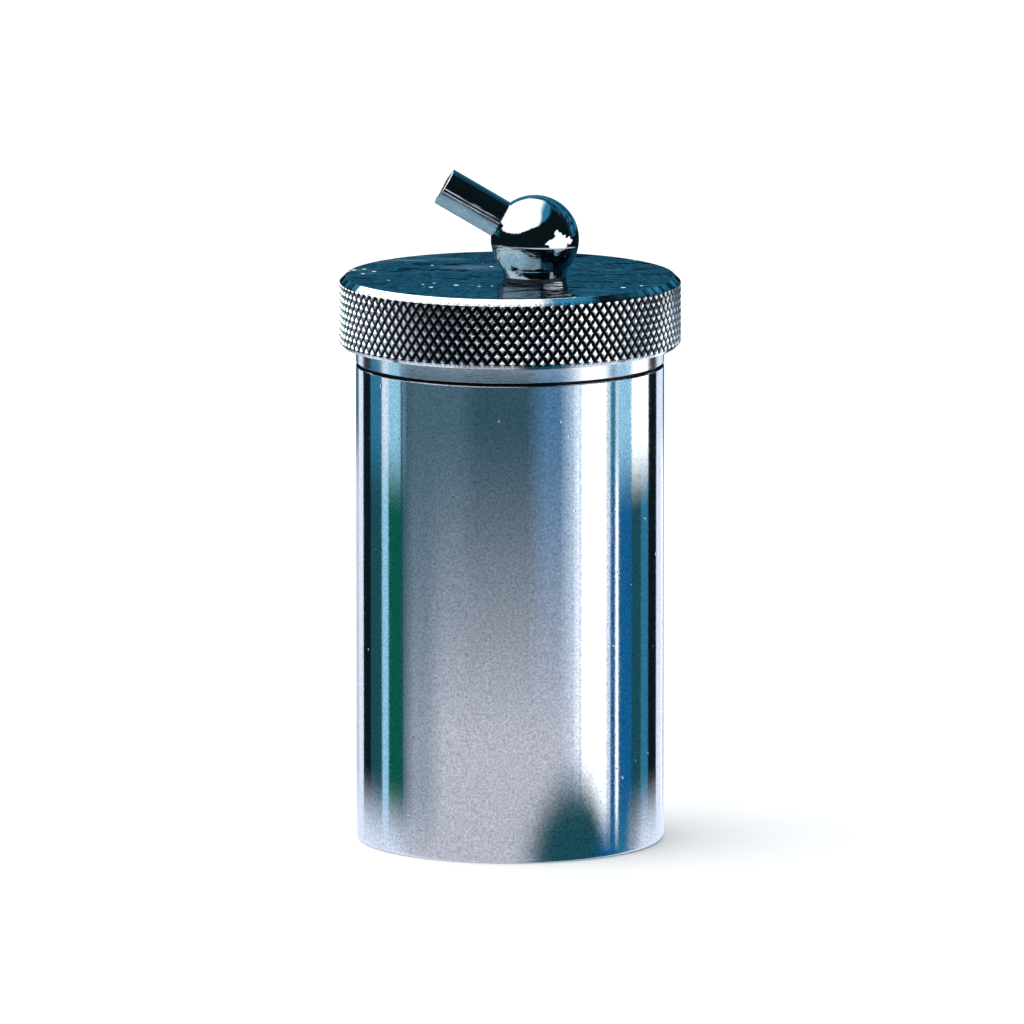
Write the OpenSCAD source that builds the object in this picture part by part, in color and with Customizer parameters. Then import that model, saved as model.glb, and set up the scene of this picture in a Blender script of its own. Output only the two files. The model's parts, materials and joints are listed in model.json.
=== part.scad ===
// Small stainless dewar for liquid nitrogen: vacuum flask, knurled screw cap and swivelling ball spout.
// Millimetres. +Z is up, the origin is the centre of the face it stands on, and -Y is the front.

/* [Outer shell] */
// Outside diameter of the polished shell
shell_d = 56; // [54:0.5:58]
// Wall of the shell
shell_t = 1; // [0.9:0.1:1.2]
// Height of the seam between the shell and the neck collar
shell_h = 87.5; // [84:0.5:95]
// Radius rolled round the bottom edge
foot_round = 1.2; // [0.8:0.1:1.5]
// Radius where the flat foot ring stops
foot_inner_r = 21.5; // [20.5:0.5:22]
// Height of the slot at the seam
seam_slot = 0.5; // [0.3:0.1:0.8]
// Depth of the slot at the seam
seam_depth = 0.7; // [0.4:0.1:0.8]
// Chamfer on each edge of the slot
seam_chamfer = 0.15; // [0.1:0.05:0.3]

/* [Neck] */
// Height of the plain collar above the seam
collar_h = 2.9; // [2.5:0.1:3.5]
// Thickness of the gasket between the neck's rim and the cap
gasket_t = 1; // [0.8:0.1:1.5]
// Crest diameter of the outside thread
thread_d = 53; // [52:0.5:53.5]
// Bore of the thin neck tube
mouth_d = 30; // [30:0.5:30.5]
// Wall of the neck tube
neck_t = 0.4; // [0.3:0.1:0.5]

/* [Inner vessel] */
// Outside diameter of the inner vessel
vessel_d = 46; // [44:0.5:46]
// Wall of the inner vessel
vessel_t = 0.6; // [0.5:0.1:0.8]
// Height of the vessel's flat bottom above the table
vessel_z = 11; // [10.5:0.5:12]
// Height where the vessel's wall turns in to the neck
shoulder_z = 65; // [62:0.5:66]

/* [Screw cap] */
// Diameter over the knurl
cap_d = 62; // [60:0.5:64]
// Height of the cap
cap_h = 12.7; // [12:0.1:13.5]
// Thickness of the cap's top
cap_top_t = 3.4; // [3.2:0.1:3.6]
// Chamfer round the polished top
cap_chamfer = 1.15; // [0.8:0.05:1.4]
// Chamfer round the cap's lower edge
skirt_chamfer = 0.8; // [0.5:0.1:1]
// Gap between the cap and the collar's shoulder
cap_gap = 0.3; // [0.2:0.05:0.4]

/* [Stopper] */
// Diameter of the insulating stopper
stopper_d = 29; // [28.5:0.25:29]
// Height of the stopper's lower face above the table
stopper_z = 68; // [67:0.5:70]
// Wall of the stopper's sleeve
sleeve_t = 0.45; // [0.4:0.05:0.6]

/* [Spout] */
// Diameter of the ball
ball_d = 16; // [15:0.5:16.5]
// Height of the ball's centre above the cap
ball_rise = 7; // [7:0.1:7.5]
// Diameter of the short neck under the ball
ball_neck_d = 11.6; // [11:0.1:12]
// Distance of the swivel axis from the cap's axis
spout_offset = 5.1; // [4.5:0.1:5.1]
// Direction of the swivel axis from the cap's axis, from +X towards +Y
spout_bearing = -28; // [-40:1:-20]
// Outside diameter of the spout tube
tube_d = 7; // [6.5:0.1:7.2]
// Bore of the spout tube
tube_bore = 5.4; // [5:0.1:5.6]
// Distance of the tube's open end from the ball's centre
tube_reach = 19.1; // [17:0.1:22]
// Slope of the spout above the horizontal
tube_slope = 30.5; // [25:0.5:35]

/* [Hidden] */
$fn = 96;

braze_gap = 0.05;    // radial gap of a brazed or bonded round joint
run_gap = 0.05;      // radial gap of a turning fit
skin = 0.01;         // smallest gap between faces that would otherwise touch
cut = 1;             // how far a cut runs past a face
edge = 0.2;          // small chamfer or fillet on a turned edge
corner_steps = 6;    // segments in a quarter round
edge_steps = 2;      // segments in an edge fillet

shell_r = shell_d / 2;
shell_ir = shell_r - shell_t;
lip_r = shell_ir - braze_gap;   // outside of the collar's lip, inside the shell
locating_lip = 3;    // depth of that lip
collar_top = shell_h + collar_h;

cap_r = cap_d / 2;
cap_z = collar_top + cap_gap;
cap_top = cap_z + cap_h;
ceiling = cap_top - cap_top_t;
thread_r = thread_d / 2;
thread_play = 0.2;   // radial play of the cap's thread
thread_chamfer = 0.4;
cap_bore_r = thread_r + thread_play;
skirt_bore_chamfer = 0.5;

slip_t = 0.6;
slip_bite = 0.4;     // how far the slip ring snaps into the cap's wall
slip_play = 0.1;
slip_r = cap_bore_r + slip_bite;
gasket_r = 25;
gasket_play = 7;     // how far the gasket slides down the stopper before the bead takes it

neck_top = ceiling - slip_t - gasket_t;
mouth_r = mouth_d / 2;
neck_r = mouth_r + neck_t;
collar_web = 3;      // thickness of the collar's top web
collar_wall = 1.5;   // wall of the collar's skirt and lip
neck_sleeve = 6.4;   // length of the collar's grip on the neck tube
sleeve_foot = 1;     // wall of that grip at its lower end

vessel_r = vessel_d / 2;
vessel_foot_round = 8;
vessel_shoulder_round = vessel_r - neck_r - braze_gap - vessel_t;
vessel_neck_z = shoulder_z + vessel_shoulder_round;
vessel_collar_h = 4;

disc_t = 1;
disc_rise = 4;       // how far the base disc is dished up
disc_top = shell_t + disc_rise + disc_t;
disc_flat_r = 17;
disc_lean = 0.5;     // radial step between the faces of its sloping wall
disc_gap = 0.25;

shield_gap = 0.2;
shield_t = 1.2;
shield_ir = vessel_r + shield_gap;
shield_r = shield_ir + shield_t;
shield_z = vessel_z + vessel_foot_round;
band_t = 0.3;
band_w = 4;

spacer_r = 13;
spacer_ir = 9;
spacer_hole_r = 1.4;
getter_r = 6;
getter_h = 3;
getter_t = 0.4;
getter_play = 0.1;
getter_hole_r = 0.7;
getter_hole_circle = 3.2;

port_r = 3.2;
port_t = 0.8;
port_h = 4.2;
port_z = disc_top - 3;
port_ir = port_r - port_t;
plug_head_r = 2.8;
plug_head_h = 0.4;
plug_h = 2.4;
cover_r = 7.5;
cover_t = 0.8;
cover_top_t = 1;
cover_slot = [10, 1.2, 0.6];

plate_t = 2;
plate_z = ceiling - plate_t;
end_t = 2;
stopper_r = stopper_d / 2;
bead_r = mouth_r - 0.1;
bead_t = 1.2;
pocket_r = 7.2;
pocket_depth = 6;
screw_circle_r = 10.8;
screw_r = 1.25;
screw_head_r = 2.4;
screw_head_h = 1.15;
screw_bite = 2.2;
screw_end_gap = 0.3;
socket_r = 0.85;
socket_depth = 0.8;
screw_bearings = [for (turn = [-75, 0, 75]) spout_bearing + 180 + turn];

spout_at = [spout_offset * cos(spout_bearing), spout_offset * sin(spout_bearing)];
ball_r = ball_d / 2;
ball_neck_r = ball_neck_d / 2;
ball_z = cap_top + ball_rise;
stem_r = 4.5;
stem_end = ceiling - 7.4;
passage_r = 2;
tube_r = tube_d / 2;
tube_start = 4;                 // distance of the tube's inner end from the ball's centre
tube_shoulder = ball_r - 0.8;   // where its full diameter starts, on a flat sunk in the ball
tail_r = tube_r - 0.3;
bush_r = 5.5;
seat_washer_r = ball_neck_r - 0.3;
seat_washer_t = 0.3;
washer_r = 6.6;
thrust_t = 0.6;
thrust_gap = 0.02;   // axial running gap under the thrust washer
backing_t = 0.6;
backing_z = ceiling - thrust_t - thrust_gap - backing_t;
spring_t = 0.4;
spring_h = 1.4;      // height of the pair
spring_z = backing_z - spring_h;
spring_r = 6.4;
spring_ir = stem_r + 0.2;
spring_land = 0.1;   // width of a spring's flat edges
nut_h = 3;
nut_flats = 12;
nut_chamfer_r = 6.3; // radius of the nut's lower face
ring_section = 0.82; // section of the stem's O-ring
ring_groove_r = stem_r + run_gap - 0.85;
ring_groove_w = 1.2;
ring_z = ceiling + cap_top_t / 2;
liner_r = 3;
liner_bore_r = 2.2;
liner_gap = 0.3;     // between the liner and the end of the stem

// Points of an arc round [r, z], from angle a0 to a1
function arc(r, z, radius, a0, a1, steps = corner_steps) = [
    for (i = [0:steps])
        let (a = a0 + (a1 - a0) * i / steps)
        [r + radius * cos(a), z + radius * sin(a)]
];

module lathe(points) rotate_extrude() polygon(points);

module ring(r_out, r_in, h) difference() {
    cylinder(r = r_out, h = h);
    translate([0, 0, -cut]) cylinder(r = r_in, h = h + 2 * cut);
}

module six_times() for (turn = [0:60:300]) rotate(turn) children();

// Outline of the seam's slot from its floor out to the wall, on the side below the seam or above it
function seam_lip(side) = [
    [shell_r - seam_depth, shell_h],
    [shell_r - seam_depth, shell_h + side * seam_slot / 2],
    [shell_r - seam_chamfer, shell_h + side * seam_slot / 2],
    [shell_r, shell_h + side * (seam_slot / 2 + seam_chamfer)]
];

module on_spout_axis(z = 0) translate([spout_at.x, spout_at.y, z]) children();

// Points a child's +Z along the spout tube, from the ball's centre
module along_spout() on_spout_axis(ball_z) rotate([0, tube_slope - 90, 0]) children();

// ---- vacuum jacket ----

module outer_shell() color("silver") lathe(concat(
    arc(shell_r - foot_round, foot_round, foot_round, 0, -90),
    arc(foot_inner_r + shell_t / 2, shell_t / 2, shell_t / 2, -90, -270),
    arc(shell_ir - edge, shell_t + edge, edge, -90, 0, edge_steps),
    [[shell_ir, shell_h]],
    seam_lip(-1)
));

module base_disc() color("gainsboro") lathe([
    [port_r + braze_gap, disc_top - disc_t],
    [disc_flat_r, disc_top - disc_t],
    [disc_flat_r + disc_rise - disc_lean, shell_t],
    [shell_ir - disc_gap, shell_t],
    [shell_ir - disc_gap, shell_t + disc_t],
    [disc_flat_r + disc_rise, shell_t + disc_t],
    [disc_flat_r + disc_lean, disc_top],
    [port_r + braze_gap, disc_top]
]);

// Plain collar, outside thread and the web that hangs the inner vessel from its neck tube
module neck_collar() color("silver") lathe(concat(
    [
        [neck_r + braze_gap, neck_top],
        [thread_r - thread_chamfer, neck_top],
        [thread_r, neck_top - thread_chamfer],
        [thread_r, collar_top],
        [shell_r - edge, collar_top],
        [shell_r, collar_top - edge]
    ],
    [for (i = [3:-1:0]) seam_lip(1)[i]],
    [
        [lip_r, shell_h],
        [lip_r, shell_h - locating_lip],
        [shell_ir - collar_wall, shell_h - locating_lip],
        [thread_r - collar_wall, collar_top],
        [thread_r - collar_wall, neck_top - collar_web],
        [neck_r + collar_wall, neck_top - collar_web],
        [neck_r + sleeve_foot, neck_top - neck_sleeve],
        [neck_r + braze_gap, neck_top - neck_sleeve]
    ]
));

module neck_tube() color("lightgray")
    translate([0, 0, vessel_neck_z - vessel_t]) ring(neck_r, mouth_r, neck_top - vessel_neck_z + vessel_t);

// Domed ring that narrows the vessel to its neck, welded to the top of the vessel's wall
module vessel_shoulder() color("lightgray") {
    shoulder_r = vessel_r - vessel_shoulder_round;
    lathe(concat(
        arc(shoulder_r, shoulder_z, vessel_shoulder_round, 0, 90),
        [
            [shoulder_r, vessel_neck_z + vessel_collar_h],
            [neck_r + braze_gap, vessel_neck_z + vessel_collar_h],
            [neck_r + braze_gap, vessel_neck_z - vessel_t]
        ],
        arc(shoulder_r, shoulder_z, vessel_shoulder_round - vessel_t, 90, 0)
    ));
}

// Deep-drawn cup
module inner_vessel() color("lightgray") {
    foot_z = vessel_z + vessel_foot_round;
    foot_r = vessel_r - vessel_foot_round;
    lathe(concat(
        [[0, vessel_z]],
        arc(foot_r, foot_z, vessel_foot_round, -90, 0),
        [
            [vessel_r, shoulder_z],
            [vessel_r - vessel_t, shoulder_z]
        ],
        arc(foot_r, foot_z, vessel_foot_round - vessel_t, 0, -90),
        [[0, vessel_z + vessel_t]]
    ));
}

module radiation_shield() color("goldenrod")
    translate([0, 0, shield_z]) ring(shield_r, shield_ir, shoulder_z - shield_z);

module shield_bands() color("dimgray")
    for (share = [0.2, 0.8])
        translate([0, 0, shield_z + share * (shoulder_z - shield_z) - band_w / 2])
            ring(shield_r + band_t, shield_r, band_w);

module base_spacer() color("darkkhaki") difference() {
    translate([0, 0, disc_top]) ring(spacer_r, spacer_ir, vessel_z - disc_top);
    six_times() translate([spacer_ir - cut, 0, (disc_top + vessel_z) / 2]) rotate([0, 90, 0])
        cylinder(r = spacer_hole_r, h = spacer_r - spacer_ir + 2 * cut);
}

// Perforated cup under the vessel
module getter_cup() color("silver") translate([0, 0, vessel_z - getter_h]) difference() {
    cylinder(r = getter_r, h = getter_h);
    translate([0, 0, getter_t]) cylinder(r = getter_r - getter_t, h = getter_h);
    six_times() translate([getter_hole_circle, 0, -cut]) cylinder(r = getter_hole_r, h = 2 * cut);
}

module getter_charge() color("black") translate([0, 0, vessel_z - getter_h + getter_t])
    cylinder(r = getter_r - getter_t - getter_play, h = getter_h - getter_t - getter_play);

module pump_out_tube() color("peru") translate([0, 0, port_z]) ring(port_r, port_ir, port_h);

module seal_plug() color("dimgray") translate([0, 0, port_z - plug_head_h]) {
    cylinder(r = port_ir - braze_gap, h = plug_h);
    cylinder(r = plug_head_r, h = plug_head_h);
}

// Cup over the sealed port, with a slot for a driver
module port_cover() color("silver") translate([0, 0, shell_t]) difference() {
    cylinder(r = cover_r, h = disc_rise);
    translate([0, 0, cover_top_t]) cylinder(r = cover_r - cover_t, h = disc_rise);
    translate([-cover_slot.x / 2, -cover_slot.y / 2, -cut])
        cube([cover_slot.x, cover_slot.y, cover_slot.z + cut]);
}

// ---- rings between the rim and the cap ----

module neck_gasket() color("white")
    translate([0, 0, neck_top]) ring(gasket_r, (stopper_r + bead_r) / 2, gasket_t);

module slip_ring() color("dimgray") translate([0, 0, ceiling - slip_t]) ring(slip_r, mouth_r, slip_t);

// ---- screw cap and stopper ----

module screw_cap() color("silver") difference() {
    lathe([
        [0, cap_top],
        [cap_r - cap_chamfer, cap_top],
        [cap_r, cap_top - cap_chamfer],
        [cap_r, cap_z + skirt_chamfer],
        [cap_r - skirt_chamfer, cap_z],
        [cap_bore_r + skirt_bore_chamfer, cap_z],
        [cap_bore_r, cap_z + skirt_bore_chamfer],
        [cap_bore_r, ceiling - slip_t - slip_play],
        [slip_r + slip_play, ceiling - slip_t - slip_play],
        [slip_r + slip_play, ceiling],
        [0, ceiling]
    ]);
    on_spout_axis(ceiling - cut) cylinder(r = bush_r, h = cap_top_t + 2 * cut);
    at_screws(ceiling - cut) cylinder(r = screw_r, h = screw_bite + cut);
}

module at_screws(z)
    for (bearing = screw_bearings)
        rotate(bearing) translate([screw_circle_r, 0, z]) children();

module spout_bush() color("dimgray")
    on_spout_axis(ceiling) ring(bush_r - braze_gap / 2, stem_r + run_gap, cap_top_t);

module stopper_plate() color("silver") difference() {
    translate([0, 0, plate_z]) cylinder(r = stopper_r, h = plate_t);
    on_spout_axis(plate_z - cut) cylinder(r = pocket_r, h = plate_t + 2 * cut);
    at_screws(plate_z - cut) cylinder(r = screw_r + braze_gap, h = plate_t + 2 * cut);
    at_screws(plate_z - skin)
        cylinder(r1 = screw_head_r + braze_gap, r2 = screw_r + braze_gap, h = screw_head_h + braze_gap);
}

module stopper_screws() color("gray") at_screws(plate_z) {
    difference() {
        union() {
            cylinder(r1 = screw_head_r, r2 = screw_r, h = screw_head_h);
            cylinder(r = screw_r - skin, h = plate_t + screw_bite - screw_end_gap);
        }
        translate([0, 0, -cut]) cylinder(r = socket_r, h = socket_depth + cut, $fn = 6);
    }
}

// Thin sleeve, with a bead that picks the gasket up when the cap is unscrewed
module stopper_sleeve() color("ivory") {
    bead_top = neck_top - gasket_play;
    lathe([
        [stopper_r - sleeve_t, stopper_z + end_t],
        [stopper_r, stopper_z + end_t],
        [stopper_r, bead_top - bead_t],
        [bead_r, bead_top - bead_t / 2],
        [bead_r, bead_top],
        [stopper_r, bead_top],
        [stopper_r, plate_z],
        [stopper_r - sleeve_t, plate_z]
    ]);
}

module stopper_foam() color("whitesmoke") difference() {
    translate([0, 0, stopper_z + end_t])
        cylinder(r = stopper_r - sleeve_t - braze_gap, h = plate_z - stopper_z - end_t);
    on_spout_axis(plate_z - pocket_depth) cylinder(r = pocket_r, h = pocket_depth + cut);
    on_spout_axis(stopper_z) cylinder(r = liner_r + braze_gap, h = plate_z - stopper_z);
}

module stopper_end() color("ivory") difference() {
    translate([0, 0, stopper_z]) cylinder(r = stopper_r, h = end_t);
    on_spout_axis(stopper_z - cut) cylinder(r = liner_r + braze_gap, h = end_t + 2 * cut);
}

module vent_liner() color("ivory")
    on_spout_axis(stopper_z) ring(liner_r, liner_bore_r, stem_end - liner_gap - stopper_z);

// ---- swivelling spout ----

// Ball, short neck and hollow threaded stem turned from one bar
module spout_ball() color("gray") difference() {
    on_spout_axis() {
        translate([0, 0, ball_z]) sphere(r = ball_r);
        translate([0, 0, cap_top + seat_washer_t]) cylinder(r = ball_neck_r, h = ball_rise - seat_washer_t);
        translate([0, 0, stem_end]) cylinder(r = stem_r, h = ball_z - stem_end);
    }
    on_spout_axis(stem_end - cut) cylinder(r = passage_r, h = ball_z - stem_end + cut);
    on_spout_axis(ring_z - ring_groove_w / 2) ring(stem_r + cut, ring_groove_r, ring_groove_w);
    along_spout() cylinder(r = passage_r, h = ball_r);
    along_spout() translate([0, 0, tube_start]) cylinder(r = tail_r + braze_gap / 2, h = ball_r);
    along_spout() translate([0, 0, tube_shoulder]) cylinder(r = tube_r + braze_gap / 2, h = ball_r);
}

module spout_tube() color("gray") along_spout() difference() {
    union() {
        translate([0, 0, tube_start]) cylinder(r = tail_r, h = tube_reach - tube_start);
        translate([0, 0, tube_shoulder]) cylinder(r = tube_r, h = tube_reach - tube_shoulder);
    }
    cylinder(r = tube_bore / 2, h = tube_reach + cut);
}

module seat_washer() color("dimgray")
    on_spout_axis(cap_top) ring(seat_washer_r, stem_r + run_gap, seat_washer_t);

module thrust_washer() color("dimgray")
    on_spout_axis(ceiling - thrust_t) ring(washer_r, stem_r + run_gap, thrust_t);

module backing_washer() color("silver") on_spout_axis(backing_z) ring(washer_r, stem_r + run_gap, backing_t);

// Two conical springs, rim to rim
module disc_springs() color("gray") on_spout_axis(spring_z) for (side = [0, 1])
    translate([0, 0, side * spring_h]) mirror([0, 0, side]) lathe([
        [spring_ir, 0],
        [spring_ir + spring_land, 0],
        [spring_r, spring_h / 2 - spring_t],
        [spring_r, spring_h / 2 - skin],
        [spring_r - spring_land, spring_h / 2 - skin],
        [spring_ir, spring_t]
    ]);

// Hexagon nut, its lower corners turned off
module retaining_nut() color("silver") on_spout_axis(spring_z - nut_h) difference() {
    intersection() {
        cylinder(d = nut_flats / cos(30), h = nut_h, $fn = 6);
        cylinder(r1 = nut_chamfer_r, r2 = nut_chamfer_r + nut_h, h = nut_h);
    }
    translate([0, 0, -cut]) cylinder(r = stem_r + skin, h = nut_h + 2 * cut);
}

module stem_o_ring() color("black") on_spout_axis(ring_z)
    rotate_extrude() translate([ring_groove_r + skin + ring_section / 2, 0]) circle(d = ring_section);

outer_shell();
base_disc();
neck_collar();
neck_tube();
vessel_shoulder();
inner_vessel();
radiation_shield();
shield_bands();
base_spacer();
getter_cup();
getter_charge();
pump_out_tube();
seal_plug();
port_cover();
neck_gasket();
slip_ring();
screw_cap();
spout_bush();
stopper_plate();
stopper_screws();
stopper_sleeve();
stopper_foam();
stopper_end();
vent_liner();
spout_ball();
spout_tube();
seat_washer();
thrust_washer();
backing_washer();
disc_springs();
retaining_nut();
stem_o_ring();
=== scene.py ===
"""A small vacuum-jacketed flask for liquid nitrogen: its looks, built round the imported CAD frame.

Shape functions work in millimetres and write their meshes in metres. Sizes come from the frame's
nodes; what the frame doesn't hold, such as the knurl and the threads, is named below.
"""
import json
import math

import bmesh
import bpy
from mathutils import Matrix, Vector


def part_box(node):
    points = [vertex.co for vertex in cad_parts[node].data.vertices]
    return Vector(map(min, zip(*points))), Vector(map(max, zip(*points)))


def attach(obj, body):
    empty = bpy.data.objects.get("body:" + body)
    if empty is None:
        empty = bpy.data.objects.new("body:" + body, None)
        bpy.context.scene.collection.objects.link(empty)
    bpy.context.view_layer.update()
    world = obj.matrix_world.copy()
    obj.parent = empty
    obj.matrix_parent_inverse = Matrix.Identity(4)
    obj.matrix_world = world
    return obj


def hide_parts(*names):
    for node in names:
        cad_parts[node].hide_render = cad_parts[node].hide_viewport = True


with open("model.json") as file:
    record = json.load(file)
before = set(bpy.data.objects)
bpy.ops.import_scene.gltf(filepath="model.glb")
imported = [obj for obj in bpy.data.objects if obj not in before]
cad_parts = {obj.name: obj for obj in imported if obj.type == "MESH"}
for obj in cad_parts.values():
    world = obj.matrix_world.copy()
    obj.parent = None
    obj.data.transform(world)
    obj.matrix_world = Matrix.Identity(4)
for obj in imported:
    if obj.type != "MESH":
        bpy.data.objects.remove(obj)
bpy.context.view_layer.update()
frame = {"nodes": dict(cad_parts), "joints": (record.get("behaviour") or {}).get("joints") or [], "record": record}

MM = 0.001

# ---- sizes, in millimetres ----


def extent(node):
    """Lowest and highest corner of a CAD node, in millimetres."""
    low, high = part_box(node)
    return low / MM, high / MM


def turned(node):
    """Radius, bottom and top of a round CAD node."""
    low, high = extent(node)
    return (high.x - low.x) / 2, low.z, high.z


def joint(name):
    """A joint of the frame, by its name."""
    return next(j for j in frame["joints"] if j["name"] == name)


def mount(name):
    """A mount of the record, by its name."""
    return next(m for m in frame["record"]["mounts"] if m["name"] == name)


shell_r, _, seam_z = turned("outer_shell")
_, lip_z, neck_top = turned("neck_collar")
cap_r, cap_z, cap_top = turned("screw_cap")
slip_r, slip_z, ceiling = turned("slip_ring")
tube_r = mount("spout_end")["dims"]["r_mm"]
tube_bore_r = mount("spout_bore")["dims"]["r_mm"]
ball = Vector(joint("spout_swivel")["pos_m"]) / MM
tube_way = Vector(mount("spout_end")["axis"])
neck_bore_r = turned("neck_tube")[0]
stem_end = extent("spout_ball")[0].z
ball_r = extent("spout_ball")[1].z - ball.z
seat_z = turned("seat_washer")[2]
tube_top = extent("spout_tube")[1].z
half_rise = tube_r * math.hypot(tube_way.x, tube_way.y)
tube_reach = (tube_top - half_rise - ball.z) / tube_way.z

EDGE = 0.15              # fillet that polishing leaves on a sharp edge
FILLET = 0.2             # fillet of a turned inside corner
BRAZE_GAP = 0.05
FIT = 0.025              # half of that, between pieces fitted into each other
SHELL_WALL = 1.0
FOOT_ROUND = 1.2
FOOT_INNER_R = 21.5
FOOT_LIP = 0.45          # fillet of the foot ring's inner edge
SEAM_CHAMFER = 0.15
SEAM_SLOT = 0.5          # height of the slot that the two halves of the seam leave
SEAM_DEPTH = 0.7
SEAM_EDGE = 0.05
CAP_GAP = 0.3            # between the cap and the collar's shoulder
COLLAR_TOP = cap_z - CAP_GAP
COLLAR_WALL = 1.5
COLLAR_WEB = 3.0
NECK_SLEEVE = 6.4        # length of the collar's grip on the neck tube
SLEEVE_FOOT = 1.0        # wall of that grip at its lower end
THREAD_R = 26.5          # crest of the outside thread
BORE_R = 26.7            # crest of the inside thread
THREAD_DEPTH = 0.9
THREAD_PITCH = 2.0
THREAD_FLAT = 0.25       # share of the pitch that is flat at the crest, and again at the root
THREAD_RELIEF = 0.7      # plain height under the outside thread
THREAD_LEAD = 0.5        # lead-in chamfer of both threads
THREAD_START = 0.8       # height in which the outside thread's depth comes in
THREAD_END = 1.0         # and goes out
BORE_THREAD_START = 0.9  # the same for the inside thread
BORE_THREAD_END = (1.2, 0.4)             # it goes out between these heights below the thread's top
WEB_FILLET = 0.5
RIM_FILLET = 0.1
CAP_CHAMFER = 1.15
SKIRT_CHAMFER = 0.8
SLIP_PLAY = 0.1
KNURL_TEETH = 105
KNURL_DEPTH = 0.55
KNURL_RISE = 2.58        # height of one diamond
KNURL_CREST = 0.3        # share of a diamond that is left flat at its crest
BALL_NECK_R = 5.8
BALL_NECK_TOP = 5.2      # a place on its wall, below the ball's centre and inside the ball
BALL_NECK_BLEND = 2      # degrees between the ball's last point and where its neck's wall meets it
STEM_R = 4.5
STEM_THREAD_PITCH = 0.75
STEM_THREAD_DEPTH = 0.4
STEM_THREAD_BELOW = 1.5  # where that thread's top is, below the backing washer
STEM_THREAD_START = 0.3  # plain height at both of its ends
STEM_THREAD_FADE = 0.7
RING_GROOVE_W = 1.2
RING_GROOVE_DEPTH = 0.8
RING_GROOVE_EDGE = 0.08
RING_GROOVE_FILLET = 0.1
PASSAGE_R = 2.0
TUBE_START = 4.0         # where the tube starts, from the ball's centre
TUBE_SHOULDER = 7.2      # where its full diameter starts
TUBE_EDGE = 0.12         # fillet of its open end's edges
TAIL_STEP = 0.3          # how much thinner its tail is
TAIL_R = tube_r - TAIL_STEP
TAIL_EDGE = 0.05
NEAR = 0.01              # how close to a line a point counts as on it
WELD = 1e-4              # how close two corners or radii are when they are the same
MERGE = 1e-5             # the same for the points of a finished mesh
NOTHING = 1e-6           # a length that counts as nothing
SHARP = 32               # degrees from which an edge shades sharp


# ---- outlines ----


def rounded(corners, steps=5):
    """A closed outline from (radius, height, fillet) corners, each fillet drawn as an arc."""
    outline = []
    for i, (r, z, fillet) in enumerate(corners):
        here = Vector((r, z))
        if not fillet:
            outline.append(here)
            continue
        back = (Vector(corners[i - 1][:2]) - here).normalized()
        ahead = (Vector(corners[(i + 1) % len(corners)][:2]) - here).normalized()
        half = back.angle(ahead) / 2
        centre = here + (back + ahead).normalized() * (fillet / math.sin(half))
        first = here + back * (fillet / math.tan(half)) - centre
        turn = math.copysign(math.pi - 2 * half, back.x * ahead.y - back.y * ahead.x)
        for k in range(steps + 1):
            outline.append(centre + Matrix.Rotation(-turn * k / steps, 2) @ first)
    return outline


def held(outline, closed=True, gap=0.04, longest=0.6):
    """The outline with a point close to each end of its long edges, so that flats shade flat."""
    after = outline[1:] + outline[:1] if closed else outline[1:]
    points = []
    for a, b in zip(outline, after):
        points.append(a)
        if (b - a).length > longest:
            points += [a.lerp(b, gap / (b - a).length), b.lerp(a, gap / (b - a).length)]
    return points if closed else points + outline[-1:]


def ball_arc(radius, start, end, steps):
    """Points of an arc round the ball's centre, from one angle above the horizontal to another."""
    angles = (math.radians(start + (end - start) * k / steps) for k in range(steps + 1))
    return [Vector((radius * math.cos(a), ball.z + radius * math.sin(a))) for a in angles]


# ---- meshes ----


def finish_mesh(name, mesh, material, sharp=SHARP):
    """Turns a bmesh in millimetres into a smooth-shaded object."""
    bmesh.ops.remove_doubles(mesh, verts=mesh.verts, dist=MERGE)
    bmesh.ops.recalc_face_normals(mesh, faces=mesh.faces)
    bmesh.ops.scale(mesh, vec=(MM, MM, MM), verts=mesh.verts)
    data = bpy.data.meshes.new(name)
    mesh.to_mesh(data)
    mesh.free()
    for face in data.polygons:
        face.use_smooth = True
    data.set_sharp_from_angle(angle=math.radians(sharp))
    data.materials.append(material)
    piece = bpy.data.objects.new(name, data)
    bpy.context.scene.collection.objects.link(piece)
    return piece


def stands_for(piece, node, body):
    """Says which CAD node a piece replaces, and what it moves with."""
    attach(piece, body)
    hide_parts(node)


def revolve(outline, steps, bulge=None):
    """A closed outline turned about Z. bulge(radius, height, angle) can move a point in or out."""
    mesh = bmesh.new()
    columns = []
    for i in range(steps):
        angle = math.tau * i / steps
        column = []
        for point in outline:
            r = bulge(point.x, point.y, angle) if bulge else point.x
            column.append(mesh.verts.new((r * math.cos(angle), r * math.sin(angle), point.y)))
        columns.append(column)
    for i, column in enumerate(columns):
        after = columns[(i + 1) % steps]
        for k in range(len(outline)):
            n = (k + 1) % len(outline)
            on_axis = outline[k].x < NOTHING, outline[n].x < NOTHING
            if all(on_axis):
                continue
            ring = [column[k], column[n], after[n], after[k]]
            if on_axis[0]:
                ring = ring[:3]
            elif on_axis[1]:
                ring = [ring[0], ring[1], ring[3]]
            mesh.faces.new(ring)
    return mesh


def cut(piece, cutters):
    """Takes closed cutter meshes, in metres, out of a piece."""
    for cutter in cutters:
        modifier = piece.modifiers.new("cut", "BOOLEAN")
        modifier.operation = "DIFFERENCE"
        modifier.solver = "EXACT"
        modifier.object = cutter
    graph = bpy.context.evaluated_depsgraph_get()
    data = bpy.data.meshes.new_from_object(piece.evaluated_get(graph))
    piece.modifiers.clear()
    piece.data = data
    data.set_sharp_from_angle(angle=math.radians(SHARP))
    for cutter in cutters:
        bpy.data.objects.remove(cutter)


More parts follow.
